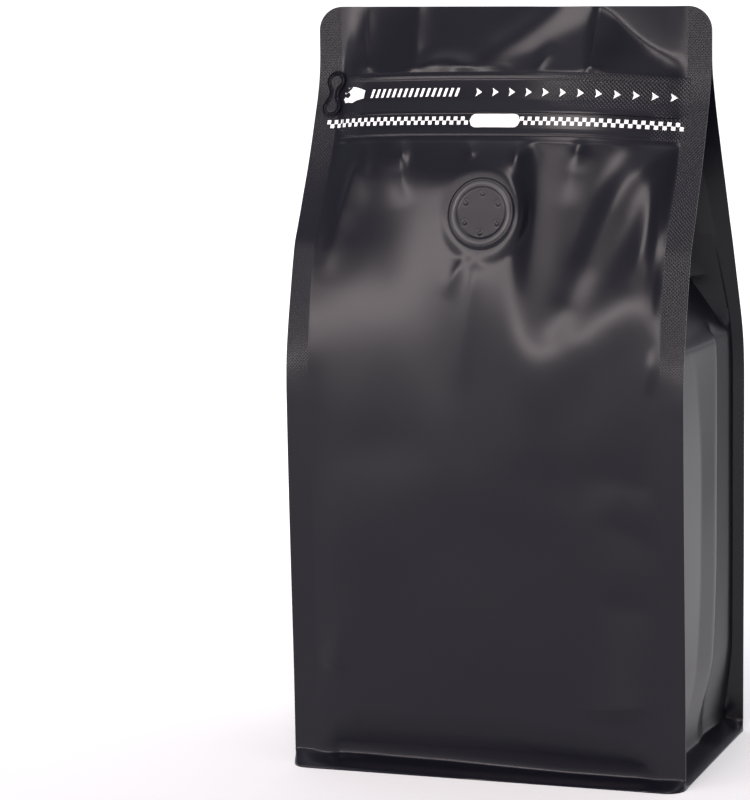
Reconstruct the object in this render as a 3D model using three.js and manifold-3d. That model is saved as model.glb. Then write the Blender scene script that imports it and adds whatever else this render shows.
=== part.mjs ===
// Flat bottom coffee bag, standing, in millimetres with +Z up.
// X runs across the front, -Y is the front and the foot stands on Z = 0.
import * as THREE from "three";
import { mergeVertices } from "three/addons/utils/BufferGeometryUtils.js";
import Module from "manifold-3d";

// Driving dimensions of the film bag
const bagWidth = 135; // across the front, fin tip to fin tip
const bagHeight = 252; // floor to top edge
const gussetDepth = 84.3; // front panel to back panel where the bag is full
const finWidth = 8; // sealed strip down each upright edge
const finThickness = 0.9;
const topCornerRadius = 8;
const sealThickness = 1.2; // both films together at the closed top
const seamY = -4.15; // where front and back meet at the top

// How the two panels lean in towards the seam
const frontShoulder = 150;
const frontLean = 0.45; // millimetres back for each millimetre up
const backShoulder = 139;
const backLean = 0.49;
const shoulderSoftness = 6;
const seamSoftness = 1.5;
const flapBlend = 12; // above the seam the back film comes to follow the front
const flapFollow = 0.8;
const flapFoldShare = 0.3;

// Sealed rim round the foot
const rimReach = 4.85; // splay past the front and back panels
const rimHeight = 4.5;
const rimEdge = 0.8;
const rimCornerRadius = 6;
const footTuck = 1.2; // the panels draw in just above the rim
const footTuckHeight = 5;
const footRows = [0, rimEdge, 2.6, rimHeight, 7.5, 11, 16]; // close rows where the foot curves

// Side gussets
const gussetFoldLength = 41; // film from fin to centre fold
const gussetLobe = 3.2; // each half swells outward below the shoulder
const gussetFootLobe = 1; // and less where the rim holds it
const gussetCentreOut = 1;
const gussetFootCentreIn = 2.5;
const gussetFootHeight = 40;
const gussetFlatDepth = 12; // a fold deeper than this has straight sides
const gussetSteps = 12;
const grooveTop = 230;
const grooveRows = [rimHeight, 8, 14];
const grooveSteps = 36;
const grooveMargin = 6; // the cut runs this far past the fin tips

// One-way valve on the front
const valveX = -0.6;
const valveZ = 187.1;
const valveRadius = 11.5;
const valveLean = 0.2; // it stands steeper than the fins
const valveSeatRelief = 12.2; // the film is flat under the valve
const valveSeatFlat = 1.5;
const valveSeatFade = 9;
// Half section as [radius, height]: a thin skirt, a rolled ring and a sunk face with a dimple
const valveSection = [
  [0, 0], [valveRadius, 0], [valveRadius, 0.5], [10.9, 0.8], [10.5, 0.8], [10.1, 1.5], [9.4, 1.7],
  [8.9, 1.4], [8.6, 0.9], [1.6, 0.9], [1, 0.7], [0, 0.7],
];
const valveSides = 40;
const pinholeCount = 6;
const pinholeRadius = 0.55;
const pinholeCircle = 6.5;
const pinholeDepth = 0.45;
const pinholeSides = 10;

// Zipper band and its pull tab
const bandLeft = -57.6;
const bandRight = 61;
const bandLow = 208.2;
const bandHigh = 228.8;
const bandThickness = 0.6;
const bandColumns = 28;
const bandRows = 12;
// Two closing ribs low down and a tear rib above them
const bandRibs = [
  { height: 0.7, width: 1.2, z: bandLow + 2 },
  { height: 0.5, width: 1, z: bandLow + 8.6 },
  { height: 0.4, width: 1.4, z: bandHigh - 2 },
];
const bandBulge = 13.5; // the band bows forward between the fins
const bandBulgeX = 12;
const bulgeFullness = 0.6; // below one, the bow is flatter across the middle
const topBulgeShare = 0.05; // what is left of the bow at the top edge
const bandFlatBelow = [10, 2]; // folds fade out from the first to the second distance
const bandFlatAbove = [1, 7];
const tabX = -61.6;
const tabLow = 215.6;
const tabHigh = 230.4;
const tabLobeRadius = 3;
const tabWaist = 2; // half width
const tabLobeOpening = Math.PI / 4; // where the neck leaves each round end
const tabNeck = 1.2;
const tabArcSteps = 12;
const tabThickness = 0.6;
const layGap = 0.4; // clearance under what is welded on the film

const halfWidth = bagWidth / 2;
const panelY = gussetDepth / 2;
const finLine = halfWidth - finWidth;

// Ridges pressed into the panels: a path of [x, z] places, half width and height
const frontRidges = [
  { path: [[3, 174], [11.5, 154.6], [19.6, 140.8]], width: 7, height: 1.8 },
  { path: [[19.6, 140.8], [37, 149.3], [56, 170.2]], width: 6, height: 2.2 },
  { path: [[21.5, 146], [38.1, 182.2], [52, 200]], width: 5.5, height: 2 },
  { path: [[-13.3, 172], [-11.2, 120]], width: 10, height: 1.6 },
  { path: [[-32, 194], [-23, 186]], width: 9, height: 1.8 },
  { path: [[-8.2, 231], [6.4, 240.6], [23.5, 251]], width: 5, height: 1 },
  { path: [[33, 251], [46.9, 238], [56, 234.5]], width: 5, height: 1 },
];
const frontHollows = [
  { at: [32, 166], reach: [12, 13], depth: 2.6 },
  { at: [12, 166], reach: [7, 11], depth: 1.4 },
  { at: [-38, 168], reach: [13, 16], depth: 1.4 },
  { at: [0, 14], reach: [50, 7], depth: 0.9 },
];
const backRidges = [
  { path: [[-20, 196], [-6, 150], [4, 128]], width: 7, height: 1.8 },
  { path: [[-52, 172], [-28, 146], [-6, 134]], width: 6, height: 1.8 },
  { path: [[14, 200], [30, 168], [50, 150]], width: 6, height: 2 },
  { path: [[-22, 246], [8, 236]], width: 5, height: 0.8 },
];
const backHollows = [
  { at: [-30, 168], reach: [12, 13], depth: 2 },
  { at: [14, 160], reach: [9, 16], depth: 2 },
  { at: [0, 14], reach: [50, 7], depth: 0.9 },
];

// The full part swells a little between the fins, rising and fading over these heights
const panelCrown = 2;
const crownRise = [8, 45];
const crownFade = [110, 165];

// Grid of the film: rows up the wall, steps round a top corner and columns between the fins
const wallStart = 22;
const wallSteps = 42;
const cornerSteps = 4;
const panelSteps = 24;
const finColumnShares = [0, 0.1, 0.33, 0.63, 1];

const filmMaterial = new THREE.MeshStandardMaterial({ color: 0x2b2b2e, roughness: 0.42, metalness: 0 });
const valveMaterial = new THREE.MeshStandardMaterial({ color: 0x2a292a, roughness: 0.45, metalness: 0 });
const bandMaterial = new THREE.MeshStandardMaterial({ color: 0x303033, roughness: 0.36, metalness: 0 });
const tabMaterial = new THREE.MeshStandardMaterial({ color: 0x29292c, roughness: 0.4, metalness: 0 });

function softRamp(value, softness) {
  return softness * Math.log1p(Math.exp(value / softness));
}

function smooth(from, to, value) {
  return THREE.MathUtils.smoothstep(value, from, to);
}

function mix(from, to, share) {
  return from + (to - from) * share;
}

// Side profile: the front and back fins lean in and close on the seam
function frontLine(z) {
  const leaning = -panelY + frontLean * softRamp(z - frontShoulder, shoulderSoftness);
  const clear = seamY - sealThickness / 2 - leaning;
  return seamY - sealThickness / 2 - softRamp(clear, seamSoftness);
}

function backLine(z) {
  const leaning = panelY - backLean * softRamp(z - backShoulder, shoulderSoftness);
  const clear = leaning - seamY - sealThickness / 2;
  return seamY + sealThickness / 2 + softRamp(clear, seamSoftness);
}

function halfWidthAt(z) {
  const rise = z - (bagHeight - topCornerRadius);
  if (rise <= 0) return halfWidth;
  return halfWidth - topCornerRadius + Math.sqrt(Math.max(0, topCornerRadius ** 2 - rise ** 2));
}

// The rim splays out over the last few millimetres and has rounded corners in plan
function rimSplay(x, z) {
  const share = 1 - smooth(rimEdge, rimHeight, z);
  const past = Math.max(0, Math.abs(x) - (halfWidth - rimCornerRadius));
  const corner = rimCornerRadius - Math.sqrt(Math.max(0, rimCornerRadius ** 2 - past ** 2));
  return share * (rimReach - corner);
}

function tuckAt(x, z) {
  const fade = Math.exp(-(((z - rimHeight) / footTuckHeight) ** 2));
  return footTuck * fade * smooth(rimEdge, rimHeight, z) * insideFins(x);
}

function distanceToPath(path, x, z) {
  const point = new THREE.Vector2(x, z);
  let nearest = Infinity;
  for (let i = 0; i + 1 < path.length; i += 1) {
    const start = new THREE.Vector2(...path[i]);
    const run = new THREE.Vector2(...path[i + 1]).sub(start);
    const along = THREE.MathUtils.clamp(point.clone().sub(start).dot(run) / run.lengthSq(), 0, 1);
    nearest = Math.min(nearest, start.addScaledVector(run, along).distanceTo(point));
  }
  return nearest;
}

function ridgeRelief(ridges, x, z) {
  return ridges.reduce((sum, ridge) => {
    const reach = distanceToPath(ridge.path, x, z) / ridge.width;
    return sum + ridge.height * Math.exp(-(reach ** 2));
  }, 0);
}

function hollowRelief(hollows, x, z) {
  return hollows.reduce((sum, hollow) => {
    const across = (x - hollow.at[0]) / hollow.reach[0];
    const up = (z - hollow.at[1]) / hollow.reach[1];
    return sum - hollow.depth * Math.exp(-(across ** 2) - up ** 2);
  }, 0);
}

function crownRelief(x, z) {
  const across = Math.cos((Math.PI / 2) * Math.min(1, Math.abs(x) / finLine));
  return panelCrown * across * smooth(...crownRise, z) * (1 - smooth(...crownFade, z));
}

// Relief lies between the fins only, and is flat under the zipper band
function insideFins(x) {
  return 1 - smooth(finLine - finWidth, finLine, Math.abs(x));
}

function bulgeRelief(x, z) {
  const end = x < bandBulgeX ? -finLine : finLine;
  const side = (x - end) / (bandBulgeX - end);
  const across = Math.sin((Math.PI / 2) * THREE.MathUtils.clamp(side, 0, 1)) ** bulgeFullness;
  const settled = 1 - mix(0, 1 - topBulgeShare, smooth(bandHigh, bagHeight, z));
  return bandBulge * across * smooth(frontShoulder, bandLow, z) * settled;
}

function frontRelief(x, z) {
  const above = smooth(bandLow - bandFlatBelow[0], bandLow - bandFlatBelow[1], z);
  const overBand = above * (1 - smooth(bandHigh + bandFlatAbove[0], bandHigh + bandFlatAbove[1], z));
  const pressed = ridgeRelief(frontRidges, x, z) + hollowRelief(frontHollows, x, z);
  const free = crownRelief(x, z) + bulgeRelief(x, z) + pressed * (1 - overBand) * insideFins(x);
  const valveReach = Math.hypot(x - valveX, z - valveZ);
  const offSeat = smooth(valveRadius + valveSeatFlat, valveRadius + valveSeatFade, valveReach);
  const seat = valveSeatRelief + (frontLean - valveLean) * (z - valveZ);
  return mix(seat, free, offSeat);
}

function frontY(x, z) {
  return frontLine(z) - rimSplay(x, z) + tuckAt(x, z) - frontRelief(x, z);
}

function backY(x, z) {
  const pressed = ridgeRelief(backRidges, x, z) + hollowRelief(backHollows, x, z);
  const closed = smooth(grooveTop, grooveTop + flapBlend, z);
  const relief = crownRelief(x, z) + pressed * insideFins(x) * mix(1, flapFoldShare, closed);
  return backLine(z) + rimSplay(x, z) - tuckAt(x, z) + relief - bulgeRelief(x, z) * flapFollow * closed;
}

// A closed body from two facing grids of points, rows running up and columns running along +X
function gridSolid(frontRows, backRows) {
  const rowCount = frontRows.length;
  const columnCount = frontRows[0].length;
  const positions = [...frontRows.flat(), ...backRows.flat()].flatMap((point) => point.toArray());
  const front = (row, column) => row * columnCount + column;
  const back = (row, column) => rowCount * columnCount + front(row, column);
  const index = [];
  const quad = (a, b, c, d) => index.push(a, b, c, a, c, d);
  for (let row = 0; row + 1 < rowCount; row += 1) {
    for (let column = 0; column + 1 < columnCount; column += 1) {
      quad(front(row, column), front(row, column + 1), front(row + 1, column + 1), front(row + 1, column));
      quad(back(row, column + 1), back(row, column), back(row + 1, column), back(row + 1, column + 1));
    }
    const last = columnCount - 1;
    quad(front(row, last), back(row, last), back(row + 1, last), front(row + 1, last));
    quad(back(row, 0), front(row, 0), front(row + 1, 0), back(row + 1, 0));
  }
  for (let column = 0; column + 1 < columnCount; column += 1) {
    const top = rowCount - 1;
    quad(back(0, column), back(0, column + 1), front(0, column + 1), front(0, column));
    quad(front(top, column), front(top, column + 1), back(top, column + 1), back(top, column));
  }
  return geometryFrom(positions, index);
}

// A closed body through rings of points that run anticlockwise seen from above, capped from a centre
function ringSolid(rings, lowCentre, highCentre) {
  const count = rings[0].length;
  const positions = [...rings.flat(), lowCentre, highCentre].flatMap((point) => point.toArray());
  const low = rings.length * count;
  const index = [];
  for (let i = 0; i < count; i += 1) {
    const next = (i + 1) % count;
    for (let ring = 0; ring + 1 < rings.length; ring += 1) {
      const base = ring * count;
      index.push(base + i, base + next, base + count + next);
      index.push(base + i, base + count + next, base + count + i);
    }
    index.push(low, next, i);
    index.push(low + 1, low - count + i, low - count + next);
  }
  return geometryFrom(positions, index);
}

function geometryFrom(positions, index) {
  const geometry = new THREE.BufferGeometry();
  geometry.setAttribute("position", new THREE.Float32BufferAttribute(positions, 3));
  geometry.setIndex(index);
  return geometry;
}

const wasm = await Module();
wasm.setup();

function solidFrom(geometry) {
  const bare = geometry.clone();
  bare.deleteAttribute("normal");
  bare.deleteAttribute("uv");
  const merged = mergeVertices(bare);
  const mesh = new wasm.Mesh({
    numProp: 3,
    vertProperties: new Float32Array(merged.attributes.position.array),
    triVerts: new Uint32Array(merged.index.array),
  });
  return new wasm.Manifold(mesh);
}

function geometryOf(solid) {
  const mesh = solid.getMesh();
  return geometryFrom(Array.from(mesh.vertProperties), Array.from(mesh.triVerts));
}

function spread(from, to, steps) {
  return Array.from({ length: steps + 1 }, (unused, i) => mix(from, to, i / steps));
}

// Film bag: a block between the front and back panels, less the two side gusset grooves
function bagRows() {
  const wall = spread(wallStart, bagHeight - topCornerRadius, wallSteps);
  const corner = spread(0, Math.PI / 2, cornerSteps).slice(1).map(
    (turn) => bagHeight - topCornerRadius * (1 - Math.sin(turn)),
  );
  return [...footRows, ...wall, ...corner];
}

function bagColumns() {
  const fin = finColumnShares.map((share) => halfWidth - share * finWidth);
  const inner = spread(-finLine, finLine, panelSteps).slice(1, -1);
  return [...fin.map((x) => -x), ...inner, ...fin.reverse()];
}

function makeEnvelope() {
  const rows = bagRows();
  const columns = bagColumns();
  const place = (surface) => rows.map((z) => columns.map((column) => {
    const x = column * (halfWidthAt(z) / halfWidth);
    return new THREE.Vector3(x, surface(x, z), z);
  }));
  return gridSolid(place(frontY), place(backY));
}

// Inward travel of the gusset's centre fold: the film's length is kept as the panels close
function foldDepth(gap) {
  return Math.sqrt(Math.max(0, gussetFoldLength ** 2 - Math.min(gap / 2, gussetFoldLength) ** 2));
}

function gussetX(share, z, gap) {
  const depth = foldDepth(gap);
  const fromFin = 1 - Math.abs(2 * share - 1);
  const open = 1 - smooth(0, gussetFlatDepth, depth);
  const upright = smooth(rimHeight, gussetFootHeight, z);
  const lobe = mix(gussetFootLobe, gussetLobe, upright) * Math.abs(Math.sin(2 * Math.PI * share));
  const centre = mix(-gussetFootCentreIn, gussetCentreOut, upright) * fromFin;
  return finLine - depth * fromFin + (lobe + centre) * open;
}

function rimTop(x) {
  return rimHeight - (x - finLine) * ((rimHeight - rimEdge) / finWidth);
}

function makeGroove() {
  const outside = halfWidth + grooveMargin;
  const capX = halfWidth + grooveMargin / 2;
  const levels = [...grooveRows, ...spread(wallStart, grooveTop, grooveSteps)];
  const rings = levels.map((z, level) => {
    const near = frontLine(z) + finThickness;
    const far = backLine(z) - finThickness;
    const inner = spread(1, 0, gussetSteps).map(
      (share) => [gussetX(share, z, far - near), mix(near, far, share)],
    );
    const loop = [[outside, near], [outside, far], ...inner];
    return loop.map(([x, y]) => new THREE.Vector3(x, y, level === 0 ? rimTop(x) : z));
  });
  const capCentre = (ring, z) => new THREE.Vector3(capX, (ring[0].y + ring[1].y) / 2, z);
  return ringSolid(rings, capCentre(rings[0], rimTop(capX)), capCentre(rings.at(-1), grooveTop));
}

function mirrored(geometry) {
  const copy = geometry.clone();
  copy.scale(-1, 1, 1);
  const index = copy.index.array;
  for (let i = 0; i < index.length; i += 3) {
    [index[i], index[i + 1]] = [index[i + 1], index[i]];
  }
  return copy;
}

function makeBagBody() {
  const groove = makeGroove();
  const cut = solidFrom(makeEnvelope()).subtract(solidFrom(groove)).subtract(solidFrom(mirrored(groove)));
  return geometryOf(cut);
}

// Wraps a flat piece, drawn with x across, y up and z outwards, over the front panel
function layOnFront(geometry) {
  const position = geometry.attributes.position;
  for (let i = 0; i < position.count; i += 1) {
    const x = position.getX(i);
    const z = position.getY(i);
    position.setXYZ(i, x, frontY(x, z) - layGap - position.getZ(i), z);
  }
  return geometry;
}

function ribHeight(z) {
  const fromEdge = Math.min(z - bandLow, bandHigh - z);
  const rise = bandRibs.reduce((sum, rib) => {
    const reach = (z - rib.z) / rib.width;
    return sum + rib.height * Math.exp(-(reach ** 2));
  }, 0);
  return rise * smooth(0, 1, fromEdge);
}

function makeBand() {
  const across = bandRight - bandLeft;
  const up = bandHigh - bandLow;
  const strip = new THREE.BoxGeometry(across, up, bandThickness, bandColumns, bandRows, 1);
  strip.translate((bandLeft + bandRight) / 2, (bandLow + bandHigh) / 2, bandThickness / 2);
  const position = strip.attributes.position;
  for (let i = 0; i < position.count; i += 1) {
    const outer = position.getZ(i) > bandThickness / 2;
    if (outer) position.setZ(i, bandThickness + ribHeight(position.getY(i)));
  }
  return geometryOf(solidFrom(layOnFront(strip)));
}

// Pull tab: two round ends and a narrow waist
function makeTab() {
  const lowEnd = tabLow + tabLobeRadius;
  const highEnd = tabHigh - tabLobeRadius;
  const middle = (lowEnd + highEnd) / 2;
  const neckX = tabLobeRadius * Math.cos(tabLobeOpening);
  const neckZ = tabLobeRadius * Math.sin(tabLobeOpening);
  const left = tabX - tabWaist;
  const right = tabX + tabWaist;
  const outline = new THREE.Shape();
  outline.absarc(tabX, highEnd, tabLobeRadius, -tabLobeOpening, Math.PI + tabLobeOpening, false);
  outline.quadraticCurveTo(left, middle + tabNeck, left, middle);
  outline.quadraticCurveTo(left, middle - tabNeck, tabX - neckX, lowEnd + neckZ);
  outline.absarc(tabX, lowEnd, tabLobeRadius, Math.PI - tabLobeOpening, 2 * Math.PI + tabLobeOpening, false);
  outline.quadraticCurveTo(right, middle - tabNeck, right, middle);
  outline.quadraticCurveTo(right, middle + tabNeck, tabX + neckX, highEnd - neckZ);
  const plate = new THREE.ExtrudeGeometry(outline, {
    depth: tabThickness,
    bevelEnabled: false,
    curveSegments: tabArcSteps,
  });
  return geometryOf(solidFrom(layOnFront(plate)));
}

// Valve: a round button with a rolled ring, a sunk face and a circle of pinholes
function makeValve() {
  const profile = valveSection.map(([radius, height]) => new THREE.Vector2(radius, height));
  const face = valveSection.at(-3)[1];
  let button = solidFrom(new THREE.LatheGeometry(profile, valveSides));
  for (let i = 0; i < pinholeCount; i += 1) {
    const turn = (2 * Math.PI * i) / pinholeCount;
    const drill = new THREE.CylinderGeometry(pinholeRadius, pinholeRadius, 2 * pinholeDepth, pinholeSides);
    drill.translate(pinholeCircle * Math.sin(turn), face, pinholeCircle * Math.cos(turn));
    button = button.subtract(solidFrom(drill));
  }
  return geometryOf(button);
}

function namedMesh(name, geometry, material) {
  const mesh = new THREE.Mesh(geometry, material);
  mesh.name = name;
  return mesh;
}

const bag = new THREE.Group();
bag.add(namedMesh("bag_body", makeBagBody(), filmMaterial));
bag.add(namedMesh("zipper_band", makeBand(), bandMaterial));
bag.add(namedMesh("pull_tab", makeTab(), tabMaterial));

const valve = namedMesh("valve", makeValve(), valveMaterial);
valve.position.set(valveX, frontY(valveX, valveZ) - layGap, valveZ);
valve.rotation.x = Math.PI - Math.atan(valveLean);
bag.add(valve);

export default bag;
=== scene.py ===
import math

import bpy
import numpy as np
from mathutils import Matrix, Vector


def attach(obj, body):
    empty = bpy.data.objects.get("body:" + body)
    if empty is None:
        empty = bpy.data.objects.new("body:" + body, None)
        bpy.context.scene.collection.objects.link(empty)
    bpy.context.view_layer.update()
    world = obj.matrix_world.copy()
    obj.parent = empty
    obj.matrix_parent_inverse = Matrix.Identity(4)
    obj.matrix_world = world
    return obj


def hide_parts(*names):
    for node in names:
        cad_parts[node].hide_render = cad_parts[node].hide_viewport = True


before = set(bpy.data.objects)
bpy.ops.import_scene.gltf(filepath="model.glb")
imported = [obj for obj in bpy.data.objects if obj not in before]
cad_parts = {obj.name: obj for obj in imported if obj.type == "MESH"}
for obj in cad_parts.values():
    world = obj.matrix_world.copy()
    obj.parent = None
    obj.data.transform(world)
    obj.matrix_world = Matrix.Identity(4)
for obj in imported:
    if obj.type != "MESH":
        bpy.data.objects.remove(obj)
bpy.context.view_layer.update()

scene = bpy.context.scene
mm = 0.001
print("frame loaded")


# shape helpers, in millimetres

def smooth(start, end, value):
    t = np.clip((value - start) / (end - start), 0, 1)
    return t * t * (3 - 2 * t)


def softRamp(value, softness):
    return softness * np.logaddexp(0, value / softness)


def mix(a, b, share):
    return a + (b - a) * share


def lineThrough(points, value):
    return np.interp(value, *np.array(points, float).T)


def curveBetween(low, high, slopeLow, slopeHigh, long, t):
    rise = t * t * (3 - 2 * t)
    bend = slopeLow * t * (1 - t) ** 2 + slopeHigh * t * t * (t - 1)
    return low + (high - low) * rise + long * bend


def curveThrough(points, value):
    p = np.array(points, float)
    xs, ys = p[:, 0], p[:, 1]
    slopes = np.gradient(ys, xs)
    i = np.clip(np.searchsorted(xs, value) - 1, 0, len(xs) - 2)
    long = xs[i + 1] - xs[i]
    t = np.clip((value - xs[i]) / long, 0, 1)
    return curveBetween(ys[i], ys[i + 1], slopes[i], slopes[i + 1], long, t)


def easeThrough(points, value):
    # level at every control point, so that a fold fades out without an edge
    p = np.array(points, float)
    i = np.clip(np.searchsorted(p[:, 0], value) - 1, 0, len(p) - 2)
    return mix(p[i, 1], p[i + 1, 1], smooth(p[i, 0], p[i + 1, 0], value))


# how finely a fold's crest is followed, and how many widths away it is still felt
crest = {"leastSteps": 8, "stepLong": 0.7, "reach": 3}


def foldRelief(fold, x, z):
    # fold: crest sharpness, then places [x, z, height, left width, right width] along its crest
    sharpness, places = fold
    p = np.array(places, float)
    run = np.concatenate([[0], np.cumsum(np.hypot(np.diff(p[:, 0]), np.diff(p[:, 1])))])
    steps = max(crest["leastSteps"], int(run[-1] / crest["stepLong"]))
    s = np.linspace(0, run[-1], steps + 1)
    line = np.stack([curveThrough(np.c_[run, p[:, k]], s) for k in (0, 1)], 1)
    reach = crest["reach"] * max(p[:, 3].max(), p[:, 4].max())
    near = (x > line[:, 0].min() - reach) & (x < line[:, 0].max() + reach)
    near &= (z > line[:, 1].min() - reach) & (z < line[:, 1].max() + reach)
    nx, nz = x[near], z[near]
    best = np.full(nx.shape, np.inf)
    at = np.zeros(nx.shape)
    side = np.zeros(nx.shape)
    for i in range(steps):
        a, b = line[i], line[i + 1]
        dx, dz = b[0] - a[0], b[1] - a[1]
        t = np.clip(((nx - a[0]) * dx + (nz - a[1]) * dz) / (dx * dx + dz * dz), 0, 1)
        px, pz = nx - a[0] - t * dx, nz - a[1] - t * dz
        d = px * px + pz * pz
        closer = d < best
        best = np.where(closer, d, best)
        at = np.where(closer, i + t, at)
        side = np.where(closer, px * dz - pz * dx, side)
    at *= run[-1] / steps
    height, left, right = (easeThrough(np.c_[run, p[:, k]], at) for k in (2, 3, 4))
    relief = np.zeros(x.shape)
    relief[near] = height * np.exp(-(np.sqrt(best) / np.where(side > 0, right, left)) ** sharpness)
    return relief


def foldsRelief(folds, x, z):
    return sum(foldRelief(fold, x, z) for fold in folds.values())


def dentsRelief(dents, x, z):
    # dent: place x, z, reach across, reach up, height (below zero sinks)
    return sum(
        h * np.exp(-((x - cx) / rx) ** 2 - ((z - cz) / rz) ** 2)
        for cx, cz, rx, rz, h in dents.values()
    )


# the film bag

bag = {
    "halfWidth": 67.5, "finLine": 59.5, "height": 252.0, "topRadius": 8.0, "leastTip": 0.2,
    "film": 0.45, "filmGap": 0.1, "seal": 1.2, "leastSeal": 0.9, "closing": (226, 242), "topGroove": 0.5,
    # the zipper's place, and where the film eases onto it and off it
    "bandLow": 207.0, "bandHigh": 229.0, "bandOn": (205.5, 208.5), "bandOff": (228.0, 231.5),
    "crown": 1.5, "crownFrom": (8, 45), "crownTo": (110, 200),
    "arch": 0.19, "archFrom": 150, "backArch": (220, 240),
    "flapSoft": 0.35, "upright": 0.13, "uprightSoft": 1.0, "uprightFrom": (30, 36),
    "flatTo": 50, "columnsFrom": 100, "columnsEase": (80, 115),
    "rimDepth": 47.0, "rimHeight": 4.6, "rimRadius": 6.0,
    "tuckSlope": 0.33, "tuckAbove": 1.2, "tuckLeast": 0.5, "tuckTo": 51,
    "splay": 2.6, "splayFrom": 14, "splayTo": (170, 226),
    "curl": 2.3, "curlFrom": (126, 164), "curlTo": (178, 208),
    # the press of the fins' seal: its edge, where it starts and what is left of it below
    "pressEdge": (-0.2, 0.4), "pressFrom": (126, 148), "pressLow": 0.04,
}
# the foot's rim: how far it has run out, by height
rimOut = [
    (0, 0.98), (0.4, 1), (0.8, 0.98), (1.8, 0.75), (2.8, 0.47), (3.4, 0.3), (3.8, 0.19), (4.1, 0.115),
    (4.3, 0.07), (4.45, 0.045), (4.6, 0.031), (4.8, 0.0235), (5.6, 0.01), (6.6, 0.003), (7.9, 0),
    (460, 0),
]
# height of the seal along the foot's front, and of the top of the tuck above it, by place across
sealHeight = [
    (-67.5, 5.4), (-62, 5.2), (-57, 4.4), (-35, 3.7), (-14, 3.4), (6, 2.7), (27, 2.2), (47, 2.4),
    (61, 3.1), (67.5, 3.6),
]
tuckTop = [
    (-67.5, 7), (-59.5, 7), (-55, 12), (-52, 16), (-44, 20), (6, 20), (27, 18), (47, 14.5), (57, 10),
    (67.5, 7),
]
# depth (y) of the front and back fins at heights up the bag
frontEdge = [
    (0, -41), (30, -41.2), (60, -42), (90, -42.8), (118, -43.2), (130, -43.2), (138, -42.6), (149, -40.4),
    (160, -37.4), (170, -34.5), (176, -32.3), (180, -29.9), (185, -26.9), (191, -23.5), (197, -20),
    (205, -15.8), (215, -11.1), (222, -7.9), (228, -5.9), (234, -4.95), (240, -4.78), (252, -4.75),
]
backEdge = [
    (0, 41.5), (30, 41.8), (60, 42.4), (105, 42.7), (118, 42.8), (130, 42.5), (137, 41.5), (144, 39.2),
    (151, 36), (158.5, 32.3), (166, 28.7), (173, 25.2), (180, 21.4), (187, 17.8), (194, 14.2),
    (201, 10.5), (208, 7), (214.5, 3.7), (221, 0.7), (228, -2), (234, -3.3), (240, -3.52), (252, -3.55),
]
# how far the front bows forward at the zipper, by place across
bandBow = [
    (-67.5, 0), (-59.5, 0), (-55, 3), (-50, 5.6), (-40, 9), (-28, 11.4), (-14, 13), (0, 13.9), (10, 14.2),
    (20, 13.8), (27, 12.9), (34, 11.1), (41, 8.5), (48, 5.5), (54, 2.7), (59.5, 0), (67.5, 0),
]
# the height at which the flap above the zipper has leant back and stands upright, by place across
flapTop = [
    (-67.5, 253), (-40, 253), (20, 253), (30, 252), (34, 250), (40, 244), (47, 238.4), (54, 235.4),
    (59.5, 234), (67.5, 233),
]
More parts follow.
